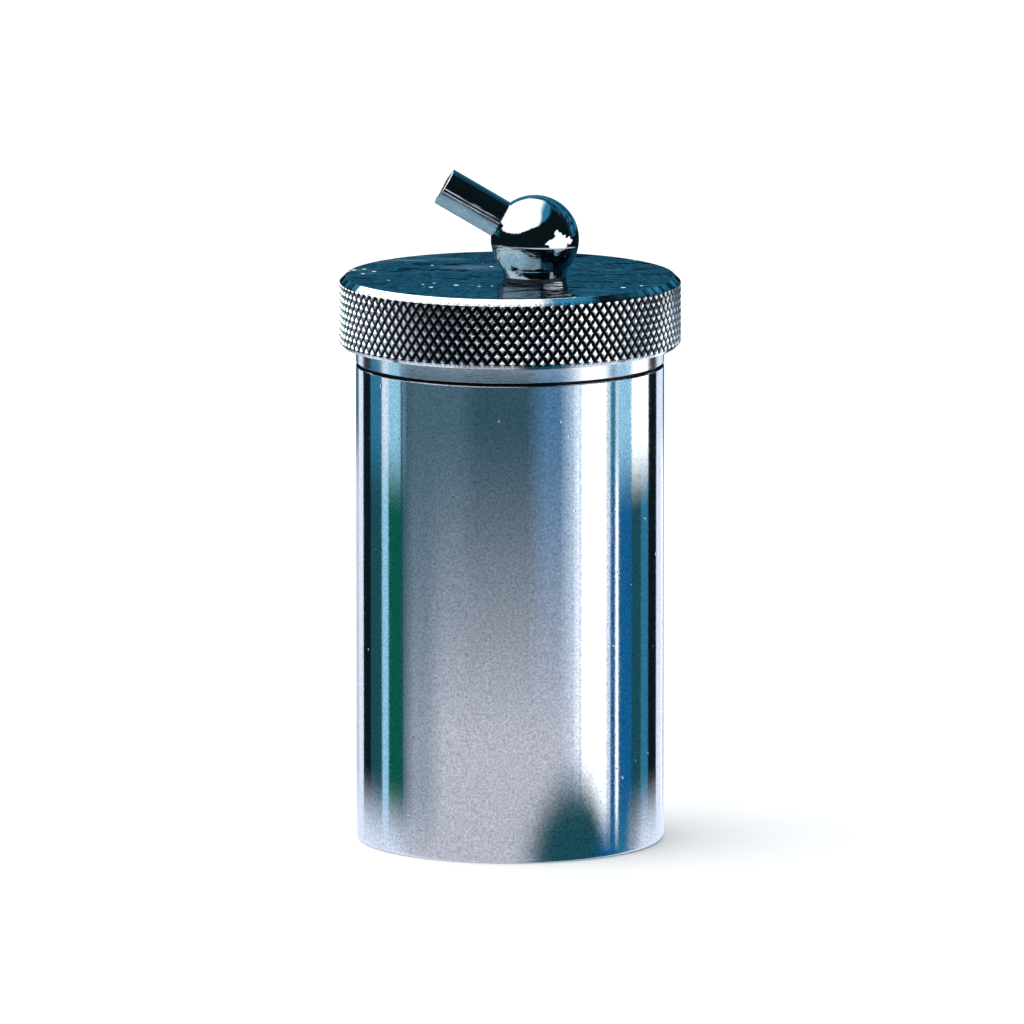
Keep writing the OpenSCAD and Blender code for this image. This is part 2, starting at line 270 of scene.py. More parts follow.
def drill(radius, start, way, length, sides=64):
    """A cutter: a cylinder from start, along way."""
    mesh = bmesh.new()
    bmesh.ops.create_cone(
        mesh, cap_ends=True, segments=sides, radius1=radius, radius2=radius, depth=length
    )
    turn = Vector(way).to_track_quat("Z", "Y").to_matrix().to_4x4()
    middle = Vector(start) + Vector(way) * length / 2
    mesh.transform(Matrix.Scale(MM, 4) @ Matrix.Translation(middle) @ turn)
    data = bpy.data.meshes.new("cutter")
    mesh.to_mesh(data)
    mesh.free()
    cutter = bpy.data.objects.new("cutter", data)
    bpy.context.scene.collection.objects.link(cutter)
    return cutter


def thread_wave(height, angle):
    """How deep a right-hand thread is at a place, from 0 at its crest to 1 at its root."""
    along = (height / THREAD_PITCH - angle / math.tau) % 1
    slope = abs(along - 0.5) * 2
    return min(max((slope - THREAD_FLAT) / (1 - 2 * THREAD_FLAT), 0), 1)


def ramp(value, start, end):
    """0 before start, 1 after end, smooth between."""
    t = min(max((value - start) / (end - start), 0), 1)
    return t * t * (3 - 2 * t)


# ---- materials ----


class Nodes:
    """A small builder for a material's node tree."""

    def __init__(self, tree):
        self.tree = tree
        tree.nodes.clear()

    def add(self, kind, inputs=None, **settings):
        node = self.tree.nodes.new(kind)
        for key, value in settings.items():
            setattr(node, key, value)
        for key, value in (inputs or {}).items():
            self.set(node.inputs[key], value)
        return node

    def set(self, socket, value):
        if isinstance(value, bpy.types.NodeSocket):
            self.tree.links.new(value, socket)
        elif isinstance(value, bpy.types.Node):
            self.tree.links.new(value.outputs[0], socket)
        else:
            socket.default_value = value

    def math(self, operation, a, b=0.0, clamp=False):
        return self.add("ShaderNodeMath", {0: a, 1: b}, operation=operation, use_clamp=clamp)

    def noise(self, place, scale, detail=4.0, roughness=0.6, stretch=None):
        if stretch:
            place = self.add("ShaderNodeMapping", {"Vector": place, "Scale": stretch})
        return self.add(
            "ShaderNodeTexNoise",
            {"Vector": place, "Scale": scale, "Detail": detail, "Roughness": roughness},
        )

    def spread(self, value, low, high, to_low, to_high, smooth=False):
        return self.add(
            "ShaderNodeMapRange",
            {"Value": value, "From Min": low, "From Max": high, "To Min": to_low, "To Max": to_high},
            interpolation_type="SMOOTHSTEP" if smooth else "LINEAR",
        )

    def mix_rgb(self, share, a, b):
        node = self.tree.nodes.new("ShaderNodeMix")
        node.data_type = "RGBA"
        self.set(node.inputs[0], share)
        self.set(node.inputs[6], a)
        self.set(node.inputs[7], b)
        return node.outputs[2]


def surface(name, **uniform):
    """A new material with a principled shader. uniform values are set on the shader's own sockets."""
    made = bpy.data.materials.new(name)
    made.use_nodes = True
    nodes = Nodes(made.node_tree)
    shader = nodes.add("ShaderNodeBsdfPrincipled")
    for key, value in uniform.items():
        shader.inputs[key.replace("_", " ")].default_value = value
    nodes.add("ShaderNodeOutputMaterial", {"Surface": shader})
    place = nodes.add("ShaderNodeTexCoord").outputs["Object"]
    return made, nodes, shader, place


def grey(value, tint=(1, 1, 1)):
    """A colour with alpha: an even grey, or a tinted one."""
    return (value * tint[0], value * tint[1], value * tint[2], 1)


COLD = (0.97, 1.0, 1.03)
DRIED = (0.8, 0.9, 0.97, 1)      # specks and film that water leaves on the lid
DRIED_METALLIC = 0.1
SPECK_CELLS = 420.0              # cells a metre, each with room for a speck
SPECK_GROUPS = 90                # scale of the noise that gathers the specks
SPECK_SIZE = 0.23                # of a cell, at most
SPECK_EDGE = 0.04
FILM_SCALE = 110
PIT_CELLS = 330.0
PIT_GROUPS = 150
PIT_CENTRE, PIT_EDGE = 0.04, 0.13
PATCH_SHARE = 0.12               # scale of the patches of gloss, as a share of the mottle's
METAL_RELIEF = 0.0005            # height, in metres, that a bump of 1 stands for


def steel(
    name, dark, light, smooth, rough, mottle=900, grain=None, tint=COLD, bump=0.05, pits=0.0, rare=0.54,
    wave=0.0, wave_scale=70, specks=False, lay=None
):
    """Metal with a mottled tone, a grain, and pits, waves and dried specks where it has them.

    dark and light are the tone's ends, and smooth and rough the roughness's. rare is the level of a
    noise above which there are pits, and lay the rotation that takes Z to the grain's way.
    """
    made, nodes, shader, place = surface(name, Metallic=1.0)
    if lay:
        inputs = {"Vector": place, "Rotation": lay}
        place = nodes.add("ShaderNodeMapping", inputs, vector_type="TEXTURE")
    tone = nodes.noise(place, mottle, 5, 0.65, grain)
    share = nodes.spread(tone, 0.34, 0.66, 0, 1)
    colour = nodes.mix_rgb(share, grey(dark, tint), grey(light, tint))
    patch = nodes.noise(place, mottle * PATCH_SHARE, 3, 0.5)
    gloss = nodes.math("ADD", nodes.math("MULTIPLY", share, 0.5), nodes.math("MULTIPLY", patch, 0.5))
    polish = nodes.spread(gloss, 0.2, 0.8, smooth, rough)
    if specks:
        spots = nodes.add("ShaderNodeTexVoronoi", {"Vector": place, "Scale": SPECK_CELLS})
        some = nodes.spread(nodes.noise(place, SPECK_GROUPS, 2), 0.53, 0.64, 0.0, SPECK_SIZE)
        size = nodes.math("SUBTRACT", some, spots.outputs["Distance"])
        speck = nodes.spread(size, 0.0, SPECK_EDGE, 0, 1)
        smear = nodes.noise(place, FILM_SCALE, 4, 0.6, (0.3, 1, 1))
        film = nodes.spread(smear, 0.58, 0.74, 0, 0.3)
        dry = nodes.math("MAXIMUM", speck, film)
        colour = nodes.mix_rgb(dry, colour, DRIED)
        polish = nodes.math("ADD", polish, nodes.math("MULTIPLY", dry, 0.4))
        nodes.set(shader.inputs["Metallic"], nodes.spread(dry, 0, 1, 1.0, DRIED_METALLIC))
    nodes.set(shader.inputs["Base Color"], colour)
    nodes.set(shader.inputs["Roughness"], polish)
    fine = nodes.noise(place, mottle, 3, 0.6, grain)
    height = nodes.math("MULTIPLY", fine, bump)
    if wave:
        slow = nodes.noise(place, wave_scale, 2, 0.45)
        height = nodes.math("ADD", height, nodes.math("MULTIPLY", slow, wave))
    if pits:
        cells = nodes.add("ShaderNodeTexVoronoi", {"Vector": place, "Scale": PIT_CELLS})
        pit = nodes.spread(cells.outputs["Distance"], PIT_CENTRE, PIT_EDGE, -pits, 0, True)
        where = nodes.spread(nodes.noise(place, PIT_GROUPS, 2), rare, rare + 0.04, 0, 1)
        height = nodes.math("ADD", height, nodes.math("MULTIPLY", pit, where))
    bumped = nodes.add("ShaderNodeBump", {"Height": height, "Distance": METAL_RELIEF, "Strength": 1.0})
    nodes.set(shader.inputs["Normal"], bumped)
    return made


# Colour of the knurl's valleys: painted shade.
VALLEY_SHADE = (0.012, 0.016, 0.02, 1)
KNURL_SHADE_HEIGHT = 0.20        # height, in millimetres, up to which painted shade fills a valley of the knurl
KNURL_LIT_DEPTH = 0.03        # how far below the crests the painted shade has quite faded out


def knurl_steel():
    """Bright cut diamonds with shade painted into their valleys, darkest at the roots."""
    made, nodes, shader, place = surface("knurl_steel", Metallic=1.0)
    parts = nodes.add("ShaderNodeSeparateXYZ", {"Vector": place})
    across = nodes.math("POWER", parts.outputs[0], 2.0)
    along = nodes.math("POWER", parts.outputs[1], 2.0)
    radius = nodes.math("SQRT", nodes.math("ADD", across, along))
    root, crest = (cap_r - KNURL_DEPTH) * MM, cap_r * MM
    # Painted shade: dark low in the valleys, full bright metal near the crests.
    unshaded = nodes.spread(radius, root + KNURL_SHADE_HEIGHT * MM, crest - KNURL_LIT_DEPTH * MM, 0, 1, True)
    worn = nodes.noise(place, 1300, 4)
    share = nodes.math("MULTIPLY", unshaded, nodes.spread(worn, 0.3, 0.6, 0.75, 1), clamp=True)
    nodes.set(shader.inputs["Base Color"], nodes.mix_rgb(share, VALLEY_SHADE, grey(0.9, COLD)))
    nodes.set(shader.inputs["Roughness"], nodes.spread(share, 0, 1, 0.42, 0.13))
    fine = nodes.add(
        "ShaderNodeBump", {"Height": nodes.noise(place, 4200, 3), "Distance": 0.00002, "Strength": 0.5}
    )
    nodes.set(shader.inputs["Normal"], fine)
    return made


def plastic(name, dark, light, rough, scale=700, bump=0.00003, **uniform):
    """Moulded or cut plastic with a faint cloud of tone and a fine surface."""
    made, nodes, shader, place = surface(name, **uniform)
    cloud = nodes.noise(place, scale, 4)
    share = nodes.spread(cloud, 0.35, 0.65, 0, 1)
    nodes.set(shader.inputs["Base Color"], nodes.mix_rgb(share, (*dark, 1), (*light, 1)))
    nodes.set(shader.inputs["Roughness"], nodes.spread(cloud, 0.3, 0.7, rough - 0.07, rough + 0.07))
    fine = nodes.noise(place, scale * 4, 4)
    skin = nodes.add("ShaderNodeBump", {"Height": fine, "Distance": bump, "Strength": 1.0})
    nodes.set(shader.inputs["Normal"], skin)
    return made


WEFT, WARP, RESIN = (0.52, 0.47, 0.22, 1), (0.66, 0.61, 0.34, 1), (0.44, 0.42, 0.24, 1)


def laminate():
    """Glass cloth in resin: a plain weave under a matt skin."""
    made, nodes, shader, place = surface("laminate")
    weave = nodes.add(
        "ShaderNodeTexChecker",
        {"Vector": place, "Scale": 1400.0, "Color1": WEFT, "Color2": WARP},
    )
    cloud = nodes.noise(place, 260, 4)
    nodes.set(
        shader.inputs["Base Color"],
        nodes.mix_rgb(nodes.spread(cloud, 0.3, 0.7, 0, 0.6), weave.outputs["Color"], RESIN),
    )
    nodes.set(shader.inputs["Roughness"], nodes.spread(cloud, 0.3, 0.7, 0.42, 0.6))
    skin = nodes.add(
        "ShaderNodeBump", {"Height": weave.outputs["Fac"], "Distance": 0.00003, "Strength": 0.7}
    )
    nodes.set(shader.inputs["Normal"], skin)
    return made


def foil():
    """Crinkled aluminised film."""
    made, nodes, shader, place = surface("foil", Metallic=1.0)
    creases = nodes.add(
        "ShaderNodeTexVoronoi", {"Vector": place, "Scale": 230.0}, feature="DISTANCE_TO_EDGE"
    )
    crinkle = nodes.noise(place, 380, 5, 0.7)
    nodes.set(
        shader.inputs["Base Color"], nodes.mix_rgb(crinkle, (0.7, 0.71, 0.73, 1), (0.93, 0.93, 0.94, 1))
    )
    nodes.set(shader.inputs["Roughness"], nodes.spread(crinkle, 0.3, 0.7, 0.12, 0.3))
    height = nodes.math("ADD", creases.outputs["Distance"], crinkle)
    nodes.set(
        shader.inputs["Normal"],
        nodes.add("ShaderNodeBump", {"Height": height, "Distance": 0.0008, "Strength": 0.8}),
    )
    return made


def granules():
    """Packed charcoal."""
    made, nodes, shader, place = surface("granules")
    grains = nodes.add("ShaderNodeTexVoronoi", {"Vector": place, "Scale": 1500.0}).outputs["Distance"]
    colour = nodes.mix_rgb(grains, (0.05, 0.05, 0.05, 1), (0.008, 0.008, 0.009, 1))
    nodes.set(shader.inputs["Base Color"], colour)
    nodes.set(shader.inputs["Roughness"], nodes.spread(grains, 0, 1, 0.6, 0.95))
    bumped = nodes.add(
        "ShaderNodeBump", {"Height": grains, "Distance": 0.0003, "Strength": 1.0}, invert=True
    )
    nodes.set(shader.inputs["Normal"], bumped)
    return made


lay_of_tube = tube_way.to_track_quat("Z", "Y").to_euler()
polished = steel(
    "polished_steel", 0.47, 0.88, 0.03, 0.10, mottle=2400, bump=0.005, pits=0.09, wave=0.02
)
collar_steel = steel("collar_steel", 0.55, 0.80, 0.10, 0.20, mottle=1500, grain=(1, 1, 6), bump=0.015)
# Near-black steel that paints shade into the seam's slot.
seam_shade_steel = steel("seam_shade_steel", 0.004, 0.03, 0.45, 0.65, mottle=1500)
# The lid's steel is a darker, blue-tinted copy of the polished steel: a dark blue reflection painted into its
# colour. Its dried specks and film are the lid's own.
shaded_lid_steel = steel(
    "shaded_lid_steel", 0.13, 0.20, 0.03, 0.20, mottle=900, tint=(0.65, 1.05, 1.3), bump=0.02, pits=0.8,
    rare=0.55, wave=1.1, wave_scale=190, specks=True
)
mirror_steel = steel("mirror_steel", 0.52, 0.64, 0.02, 0.05, mottle=900, bump=0.001)
tube_steel = steel(
    "tube_steel", 0.45, 0.70, 0.03, 0.09, mottle=1500, grain=(1, 1, 0.03), bump=0.09, lay=lay_of_tube
)
knurled = knurl_steel()
thread_steel = steel("thread_steel", 0.52, 0.68, 0.16, 0.3, mottle=1500, bump=0.03)
satin_steel = steel("satin_steel", 0.50, 0.66, 0.22, 0.36, mottle=1200, bump=0.04)
drawn_steel = steel("drawn_steel", 0.52, 0.64, 0.18, 0.32, mottle=1600, grain=(1, 1, 0.06), bump=0.04)
spring_steel = steel("spring_steel", 0.28, 0.40, 0.25, 0.4, mottle=1500, bump=0.03)
copper = plastic("copper", (0.55, 0.22, 0.12), (0.78, 0.38, 0.24), 0.34, Metallic=1.0)
ptfe = plastic("ptfe", (0.80, 0.80, 0.77), (0.90, 0.90, 0.88), 0.42)
filled_ptfe = plastic("filled_ptfe", (0.02, 0.021, 0.023), (0.045, 0.047, 0.05), 0.42, scale=1400)
foam = plastic("foam", (0.70, 0.68, 0.58), (0.86, 0.85, 0.77), 0.9, scale=1600, bump=0.0004)
black_seal = plastic("black_seal", (0.012, 0.012, 0.014), (0.028, 0.028, 0.03), 0.55)
glass_laminate = laminate()
aluminised = foil()
charcoal = granules()


# ---- the flask ----


def seam_lip(side):
    """Corners of the seam's slot on the side below it, -1, or above it, 1, from the wall inwards."""
    edge = seam_z + side * SEAM_SLOT / 2
    return [
        (shell_r, edge + side * SEAM_CHAMFER, SEAM_EDGE),
        (shell_r - SEAM_CHAMFER, edge, SEAM_EDGE),
        (shell_r - SEAM_DEPTH, edge, 0),
        (shell_r - SEAM_DEPTH, seam_z, 0),
    ]


def shade_seam_slot(piece):
    """Paints shade into the inside of the seam's slot: its faces take a near-black steel."""
    piece.data.materials.append(seam_shade_steel)
    for face in piece.data.polygons:
        near = abs(face.center.z / MM - seam_z) < SEAM_SLOT / 2 + NEAR
        if near and Vector(face.center).xy.length / MM < shell_r - SEAM_CHAMFER:
            face.material_index = len(piece.data.materials) - 1


def shell():
    """Polished shell: a rolled foot, a tall plain wall, and half of the seam's slot."""
    corners = [
        (shell_r, 0, FOOT_ROUND),
        *seam_lip(-1),
        (shell_r - SHELL_WALL, seam_z, 0),
        (shell_r - SHELL_WALL, SHELL_WALL, FILLET),
        (FOOT_INNER_R, SHELL_WALL, FOOT_LIP),
        (FOOT_INNER_R, 0, FOOT_LIP),
    ]
    piece = finish_mesh("polished_shell", revolve(held(rounded(corners, steps=8)), steps=320), polished)
    shade_seam_slot(piece)
    stands_for(piece, "outer_shell", "flask")


def collar():
    """Plain collar, the outside thread with its lead-in, and the web that grips the neck tube."""
    grip_r = neck_bore_r + BRAZE_GAP
    lip_r = shell_r - SHELL_WALL - BRAZE_GAP
    root_r = THREAD_R - THREAD_DEPTH
    low, high = COLLAR_TOP + THREAD_RELIEF, neck_top - THREAD_LEAD
    steps = 60
    thread = [Vector((THREAD_R, low + (high - low) * k / steps)) for k in range(steps + 1)]
    corners = [
        (THREAD_R, high, 0),
        (root_r - RIM_FILLET, neck_top, FILLET),
        (grip_r, neck_top, RIM_FILLET),
        (grip_r, neck_top - NECK_SLEEVE, 0),
        (neck_bore_r + SLEEVE_FOOT, neck_top - NECK_SLEEVE, 0),
        (neck_bore_r + COLLAR_WALL, neck_top - COLLAR_WEB, WEB_FILLET),
        (THREAD_R - COLLAR_WALL, neck_top - COLLAR_WEB, WEB_FILLET),
        (THREAD_R - COLLAR_WALL, COLLAR_TOP, 0),
        (shell_r - SHELL_WALL - COLLAR_WALL, lip_z, 0),
        (lip_r, lip_z, 0),
        (lip_r, seam_z, 0),
        *reversed(seam_lip(1)),
        (shell_r, COLLAR_TOP, FILLET),
        (root_r, COLLAR_TOP, FILLET),
        (THREAD_R, low, 0),
    ]
    outline = held(rounded(corners)[1:-1]) + thread

    def bulge(r, z, angle):
        if r < root_r - EDGE or z < low - NOTHING or r > THREAD_R + NEAR:
            return r
        fade = ramp(z, low, low + THREAD_START) * (1 - ramp(z, high - THREAD_END, high))
        crest = THREAD_R - THREAD_DEPTH * (1 - fade)
        deep = THREAD_R - THREAD_DEPTH * thread_wave(z, angle)
        return min(crest, deep, r)

    piece = finish_mesh("threaded_collar", revolve(outline, 288, bulge), collar_steel, sharp=40)
    piece.data.materials.append(thread_steel)
    for face in piece.data.polygons:
        face.material_index = int(face.center.z > COLLAR_TOP * MM)
    shade_seam_slot(piece)
    stands_for(piece, "neck_collar", "flask")


def knurled_cap():
    """Cap with a cut diamond knurl between two chamfers, a polished top and an inside thread."""
    plain, cut_rim, threaded, chamfer = range(4)
    tooth = math.tau * cap_r / KNURL_TEETH
    crest_high, crest_low = cap_top - CAP_CHAMFER, cap_z + SKIRT_CHAMFER
    mesh = bmesh.new()
    middle = (crest_high + crest_low) / 2
    rows = int((crest_high - crest_low) / KNURL_RISE) + 3

    def diamond(s, z):
        """One pyramid in the flat: x runs round the cap, y up it, z out from its crests."""
        ways = ((0.5, 0), (0, 0.5), (-0.5, 0), (0, -0.5))
        foot = [mesh.verts.new((s + a * tooth, z + b * KNURL_RISE, -KNURL_DEPTH)) for a, b in ways]
        flat = [
            mesh.verts.new((s + a * tooth * KNURL_CREST, z + b * KNURL_RISE * KNURL_CREST, 0))
            for a, b in ways
        ]
        mesh.faces.new(flat)
        for i in range(4):
            n = (i + 1) % 4
            mesh.faces.new((foot[i], foot[n], flat[n], flat[i]))

    for row in range(-rows, rows + 1):
        for i in range(KNURL_TEETH):
            diamond((i + (row % 2) / 2) * tooth, middle + row * KNURL_RISE / 2)
    bmesh.ops.remove_doubles(mesh, verts=mesh.verts, dist=WELD)
    for edge, side in ((crest_high, 1), (crest_low, -1)):
        bmesh.ops.bisect_plane(
            mesh,
            geom=mesh.verts[:] + mesh.edges[:] + mesh.faces[:],
            plane_co=(0, edge, 0),
            plane_no=(0, side, 1),
            clear_outer=True,
            dist=NOTHING,
        )
    for vert in mesh.verts:
        angle, height, out = vert.co.x / cap_r, vert.co.y, vert.co.z
        r = cap_r + out
        vert.co = (r * math.cos(angle), r * math.sin(angle), height)
    bmesh.ops.remove_doubles(mesh, verts=mesh.verts, dist=WELD)
    for face in mesh.faces:
        face.material_index = cut_rim

    def border(high):
        """The open edge's vertices at the top or bottom of the knurl, in order of angle."""
        verts = {v for e in mesh.edges if e.is_boundary for v in e.verts if (v.co.z > middle) == high}
        return sorted(verts, key=lambda v: math.atan2(v.co.y, v.co.x))

    def grow(loop, r, z, bulge=None, index=plain, centre=(0, 0)):
        """One more ring of faces, from a loop of vertices to a radius and height."""
        ring = []
        for vert in loop:
            angle = math.atan2(vert.co.y - centre[1], vert.co.x - centre[0])
            out = bulge(r, z, angle) if bulge else r
            place = (centre[0] + out * math.cos(angle), centre[1] + out * math.sin(angle), z)
            ring.append(mesh.verts.new(place))
        bridge(loop, ring, index)
        return ring

    def bridge(loop, ring, index=plain):
        """A ring of faces between two loops of the same number of vertices."""
        for i, vert in enumerate(loop):
            n = (i + 1) % len(loop)
            mesh.faces.new((vert, loop[n], ring[n], ring[i])).material_index = index

    def grow_along(loop, corners):
        """Rings of chamfer faces along an outline, all but its first and last points."""
        for point in held(rounded(corners), closed=False)[1:-1]:
            loop = grow(loop, point.x, point.y, None, chamfer)
        return loop

    top = grow_along(
        border(True),
        [
            (cap_r, crest_high, 0),
            (cap_r - CAP_CHAMFER, cap_top, EDGE),
            (cap_r / 2, cap_top, 0),
        ],
    )
    hub = (ball.x, ball.y)
    hole_r = turned("spout_bush")[0] + FIT
    top = grow(top, cap_r / 2, cap_top)
    top = grow(top, hole_r + FILLET, cap_top, centre=hub)
    top = grow(top, hole_r, cap_top - FILLET, centre=hub)

    low, high = cap_z + THREAD_LEAD, slip_z - SLIP_PLAY
    bottom = grow_along(
        border(False),
        [
            (cap_r, crest_low, 0),
            (cap_r - SKIRT_CHAMFER, cap_z, EDGE),
            (BORE_R + THREAD_LEAD, cap_z, RIM_FILLET),
            (BORE_R, low, 0),
        ],
    )

    def bulge(r, z, angle):
        """The inside thread, cut outwards from its crest."""
        ends = [high - below for below in BORE_THREAD_END]
        fade = ramp(z, low, low + BORE_THREAD_START) * (1 - ramp(z, *ends))
        return r + THREAD_DEPTH * fade * thread_wave(z, angle)

    steps = 56
    for k in range(steps + 1):
        bottom = grow(bottom, BORE_R, low + (high - low) * k / steps, bulge, threaded)
    bottom = grow(bottom, slip_r + SLIP_PLAY, high)
    bottom = grow(bottom, slip_r + SLIP_PLAY, ceiling)
    bottom = grow(bottom, cap_r / 2, ceiling)
    bottom = grow(bottom, hole_r, ceiling, centre=hub)
    bridge(bottom, top)
    cap = finish_mesh("knurled_cap", mesh, shaded_lid_steel, sharp=24)
    for finish in (knurled, thread_steel, polished):
        cap.data.materials.append(finish)
    for face in cap.data.polygons:
        if face.center.z > (cap_top - NEAR) * MM:
            face.material_index = plain
    stands_for(cap, "screw_cap", "cap")


# ---- the spout ----


def spout_ball():
    """Ball, short neck and hollow stem in one, with a thread on the stem's lower end."""
    thread_top = turned("backing_washer")[1] - STEM_THREAD_BELOW
    neck_meets = -math.degrees(math.acos(BALL_NECK_R / ball_r)) + BALL_NECK_BLEND
    steps = 40
    drop = thread_top - stem_end - STEM_THREAD_DEPTH
    thread = [Vector((STEM_R, thread_top - drop * k / steps)) for k in range(steps + 1)]
    groove_z = (ceiling + cap_top) / 2
    groove_top, groove_low = groove_z + RING_GROOVE_W / 2, groove_z - RING_GROOVE_W / 2
    groove_r = STEM_R - RING_GROOVE_DEPTH
    lower = [
        (BALL_NECK_R, ball.z - BALL_NECK_TOP, 0),
        (BALL_NECK_R, seat_z, EDGE),
        (STEM_R, seat_z, 0),
        (STEM_R, groove_top, RING_GROOVE_EDGE),
        (groove_r, groove_top, RING_GROOVE_FILLET),
        (groove_r, groove_low, RING_GROOVE_FILLET),
        (STEM_R, groove_low, RING_GROOVE_EDGE),
        (STEM_R, thread_top + STEM_THREAD_START, 0),
    ]
    end = [
        Vector((STEM_R - STEM_THREAD_DEPTH, stem_end)),
        Vector((PASSAGE_R + FILLET, stem_end)),
        Vector((PASSAGE_R, stem_end + FILLET)),
        Vector((PASSAGE_R, ball.z)),
        Vector((0, ball.z)),
    ]
    outline = ball_arc(ball_r, 90, neck_meets, 64)[1:] + rounded(lower)[1:] + thread + end
    outline = [Vector((0, ball.z + ball_r))] + outline

    def bulge(r, z, angle):
        if abs(r - STEM_R) > WELD or z > thread_top + NEAR or z < stem_end + STEM_THREAD_START:
            return r
        along = (z / STEM_THREAD_PITCH - angle / math.tau) % 1
        fade = 1 - ramp(z, thread_top - STEM_THREAD_FADE, thread_top)
        return r - STEM_THREAD_DEPTH * fade * abs(along - 0.5) * 2

    mesh = revolve(held(outline, longest=0.9), steps=144, bulge=bulge)
    mesh.transform(Matrix.Translation((ball.x, ball.y, 0)))
    piece = finish_mesh("ball_and_stem", mesh, mirror_steel)
    cutters = [
        drill(PASSAGE_R, ball, tube_way, TUBE_START + 0.5),
        drill(TAIL_R + FIT, ball + tube_way * TUBE_START, tube_way, ball_r, sides=96),
        drill(tube_r + FIT, ball + tube_way * TUBE_SHOULDER, tube_way, ball_r, sides=128),
    ]
    cut(piece, cutters)
    stands_for(piece, "spout_ball", "spout")


def spout_tube():
    """Open tube with a turned tail, its end left square with the edges just broken."""
    corners = [
        (tube_r, TUBE_SHOULDER, TAIL_EDGE),
        (tube_r, tube_reach, TUBE_EDGE),
        (tube_bore_r, tube_reach, TUBE_EDGE),
        (tube_bore_r, TUBE_START, 0),
        (TAIL_R, TUBE_START, 0),
        (TAIL_R, TUBE_SHOULDER, 0),
    ]
    mesh = revolve(held(rounded(corners)), steps=96)
    turn = tube_way.to_track_quat("Z", "Y").to_matrix().to_4x4()
    mesh.transform(Matrix.Translation(ball) @ turn)
    piece = finish_mesh("open_tube", mesh, tube_steel)
    stands_for(piece, "spout_tube", "spout")


# ---- finishes of the CAD nodes that stay ----

FINISHES = {
    "base_disc": satin_steel,
    "neck_tube": drawn_steel,
    "vessel_shoulder": satin_steel,
    "inner_vessel": satin_steel,
    "radiation_shield": aluminised,
    "shield_bands": satin_steel,
    "base_spacer": glass_laminate,
    "getter_cup": satin_steel,
    "getter_charge": charcoal,
    "pump_out_tube": copper,
    "seal_plug": black_seal,
    "port_cover": satin_steel,
    "neck_gasket": ptfe,
    "slip_ring": filled_ptfe,
    "spout_bush": filled_ptfe,
    "stopper_plate": satin_steel,
    "stopper_screws": satin_steel,
    "stopper_sleeve": ptfe,
    "stopper_foam": foam,
    "stopper_end": glass_laminate,
    "vent_liner": ptfe,
    "seat_washer": filled_ptfe,
    "thrust_washer": filled_ptfe,
    "backing_washer": satin_steel,
    "disc_springs": spring_steel,
    "retaining_nut": satin_steel,
    "stem_o_ring": black_seal,
}


def paint_frame():
    """Gives each CAD node that stays its finish."""
    for node, finish in FINISHES.items():
        for place in frame["nodes"][node].material_slots:
            place.material = finish


# ---- studio ----

CAMERA_AWAY = 3.2        # metres
CAMERA_ABOVE = 9.2       # degrees
LENS = 619.0             # millimetres
AIM = Vector((0.36, 0, 59.9)) * MM
KEY_PLACE, KEY_AIM = (-0.35, -0.1, 0.75), (0, 0, 0.06)
KEY_SIZE = 1.2
KEY_POWER = 1.5
FLOOR_REACH = 15         # from its middle to an edge, in metres
FLOOR_DROP = 0.00002     # how far under the foot the floor lies


def camera():
    """A long lens from the photograph's side and height."""
    data = bpy.data.cameras.new("camera")
    data.lens = LENS
    data.sensor_width = 36
    data.clip_start, data.clip_end = 0.1, 60
    made = bpy.data.objects.new("camera", data)
    tilt = math.radians(CAMERA_ABOVE)
    made.location = AIM + CAMERA_AWAY * Vector((0, -math.cos(tilt), math.sin(tilt)))
    made.rotation_euler = (math.pi / 2 - tilt, 0, 0)
    bpy.context.scene.collection.objects.link(made)
    bpy.context.scene.camera = made


def key_light():
    """A soft square light above the flask, on its left."""
    data = bpy.data.lights.new("key", "AREA")
    data.shape = "RECTANGLE"
    data.size = data.size_y = KEY_SIZE
    data.energy = KEY_POWER
    data.color = (1, 1, 1)
    made = bpy.data.objects.new("key", data)
    made.location = KEY_PLACE
    made.rotation_euler = (Vector(KEY_PLACE) - Vector(KEY_AIM)).to_track_quat("Z", "Y").to_euler()
    bpy.context.scene.collection.objects.link(made)


def floor():
    """Plain pale floor. Metal doesn't show it: table_light is what the metal reflects below."""
    made, nodes, shader, place = surface("floor_white")
    cloud = nodes.noise(place, 12, 3)
    nodes.set(shader.inputs["Base Color"], nodes.mix_rgb(cloud, grey(0.90), grey(0.93)))
    nodes.set(shader.inputs["Roughness"], nodes.spread(cloud, 0.3, 0.7, 0.8, 0.9))
    mesh = bmesh.new()
    bmesh.ops.create_grid(mesh, x_segments=8, y_segments=8, size=FLOOR_REACH)
    data = bpy.data.meshes.new("floor")
    mesh.to_mesh(data)
    mesh.free()
    data.materials.append(made)
    sheet = bpy.data.objects.new("floor", data)
    sheet.location = (0, 0, -FLOOR_DROP)
    sheet.visible_glossy = False
    bpy.context.scene.collection.objects.link(sheet)


WHITE = (1.9, 1.95, 2.0)
SILVER = (0.95, 1.05, 1.25)
PALE = (0.8, 1.0, 1.2)
SKY = (0.4, 0.8, 1.05)
MIST = (0.11, 0.26, 0.46)
HAZE = (0.09, 0.18, 0.24)
LIGHT = (0.70, 0.71, 0.81)
GREY = (0.42, 0.48, 0.58)
SLATE = (0.05, 0.12, 0.17)
BLUE = (0.04, 0.24, 0.4)
DEEP_BLUE = (0.01, 0.15, 0.38)
TEAL = (0.015, 0.1, 0.13)
GREEN = (0.004, 0.13, 0.09)
BLACK = (0.005, 0.012, 0.016)

